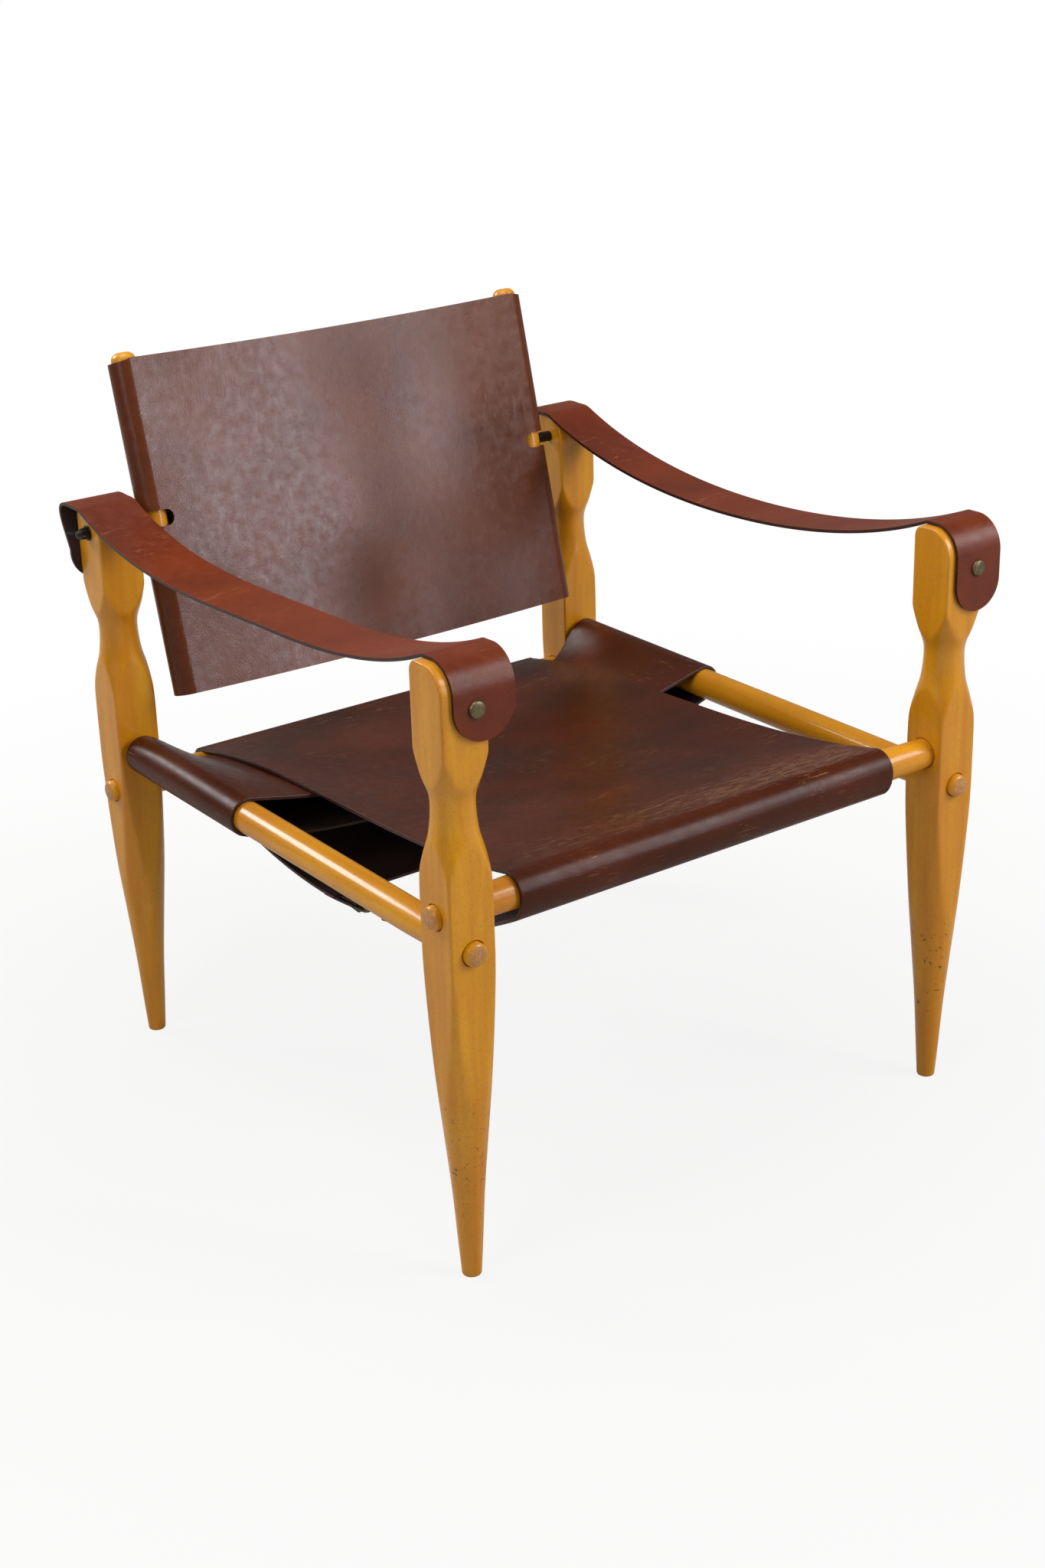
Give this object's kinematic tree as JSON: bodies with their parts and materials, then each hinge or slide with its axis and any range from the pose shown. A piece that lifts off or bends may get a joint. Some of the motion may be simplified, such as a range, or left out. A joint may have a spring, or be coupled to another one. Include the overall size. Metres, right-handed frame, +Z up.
{
  "type": "campaign chair",
  "caption": "Knock-down armchair of turned hardwood legs and round rails with a slung leather seat, leather arm straps and a leather back that swings between the rear legs.",
  "frame": {"origin": "on the floor, under the middle of the chair's overall width and depth", "axes": "+Z up, -Y towards the front of the seat, -X towards the viewer's left as seen from the front"},
  "size_m": [0.6288, 0.6524, 0.6979],
  "materials": {
    "beech": "clear lacquer over honey-coloured beech",
    "saddle_leather": "dark brown saddle leather, worn satin",
    "strap_leather": "reddish saddle leather, worn satin",
    "dark_steel": "darkened with age",
    "antique_brass": "antique, dulled"
  },
  "bodies": {
    "frame": {"front_left_leg": "beech", "front_right_leg": "beech", "rear_left_leg": "beech", "rear_right_leg": "beech", "front_rail": "beech", "rear_rail": "beech", "left_rail": "beech", "right_rail": "beech", "seat_sheet": "saddle_leather", "cross_sheet": "saddle_leather", "left_arm_strap": "strap_leather", "right_arm_strap": "strap_leather", "front_left_arm_screw": "antique_brass", "front_right_arm_screw": "antique_brass", "rear_left_arm_screw": "antique_brass", "rear_right_arm_screw": "antique_brass", "left_pivot_bolt": "dark_steel", "left_spacer": "dark_steel", "left_washer": "dark_steel", "right_pivot_bolt": "dark_steel", "right_spacer": "dark_steel", "right_washer": "dark_steel", "left_seat_belt": "saddle_leather", "left_seat_belt_tab": "saddle_leather", "left_seat_belt_buckle": "antique_brass", "left_seat_belt_rivet": "antique_brass", "left_seat_belt_tab_rivet": "antique_brass", "right_seat_belt": "saddle_leather", "right_seat_belt_tab": "saddle_leather", "right_seat_belt_buckle": "antique_brass", "right_seat_belt_rivet": "antique_brass", "right_seat_belt_tab_rivet": "antique_brass", "cross_belt": "saddle_leather", "cross_belt_tab": "saddle_leather", "cross_belt_buckle": "antique_brass", "cross_belt_rivet": "antique_brass", "cross_belt_tab_rivet": "antique_brass"},
    "back": {"left_upright": "beech", "right_upright": "beech", "back_leather": "saddle_leather", "upper_back_belt": "saddle_leather", "upper_back_belt_tab": "saddle_leather", "upper_back_belt_buckle": "antique_brass", "upper_back_belt_rivet": "antique_brass", "upper_back_belt_tab_rivet": "antique_brass", "lower_back_belt": "saddle_leather", "lower_back_belt_tab": "saddle_leather", "lower_back_belt_buckle": "antique_brass", "lower_back_belt_rivet": "antique_brass", "lower_back_belt_tab_rivet": "antique_brass"},
    "left_wing_nut": {"left_wing_nut": "dark_steel"},
    "right_wing_nut": {"right_wing_nut": "dark_steel"},
    "left_seat_belt_prong": {"left_seat_belt_prong": "antique_brass"},
    "right_seat_belt_prong": {"right_seat_belt_prong": "antique_brass"},
    "cross_belt_prong": {"cross_belt_prong": "antique_brass"},
    "upper_back_belt_prong": {"upper_back_belt_prong": "antique_brass"},
    "lower_back_belt_prong": {"lower_back_belt_prong": "antique_brass"}
  },
  "joints": [
    {"name": "back_tilt", "type": "hinge", "parent": "frame", "child": "back", "pos_m": [0, 0.27339, 0.5407], "axis": [1, 0, 0], "continuous": true},
    {"name": "left_wing_nut_turn", "type": "hinge", "parent": "frame", "child": "left_wing_nut", "pos_m": [-0.3025, 0.27339, 0.5407], "axis": [-1, 0, 0], "continuous": true},
    {"name": "right_wing_nut_turn", "type": "hinge", "parent": "frame", "child": "right_wing_nut", "pos_m": [0.3025, 0.27339, 0.5407], "axis": [1, 0, 0], "continuous": true},
    {"name": "left_seat_prong_lift", "type": "hinge", "parent": "frame", "child": "left_seat_belt_prong", "pos_m": [-0.185, -0.01227, 0.22163], "axis": [1, 0, 0], "range_deg": [0, 25]},
    {"name": "right_seat_prong_lift", "type": "hinge", "parent": "frame", "child": "right_seat_belt_prong", "pos_m": [0.185, -0.01227, 0.22163], "axis": [1, 0, 0], "range_deg": [0, 25]},
    {"name": "cross_prong_lift", "type": "hinge", "parent": "frame", "child": "cross_belt_prong", "pos_m": [0.08544, 0.14339, 0.26809], "axis": [0, -1, 0], "range_deg": [0, 25]},
    {"name": "upper_back_prong_lift", "type": "hinge", "parent": "back", "child": "upper_back_belt_prong", "pos_m": [0.035, 0.31708, 0.6308], "axis": [0, -0.2419, -0.9703], "range_deg": [0, 25]},
    {"name": "lower_back_prong_lift", "type": "hinge", "parent": "back", "child": "lower_back_belt_prong", "pos_m": [0.035, 0.26628, 0.42704], "axis": [0, -0.2419, -0.9703], "range_deg": [0, 25]}
  ]
}
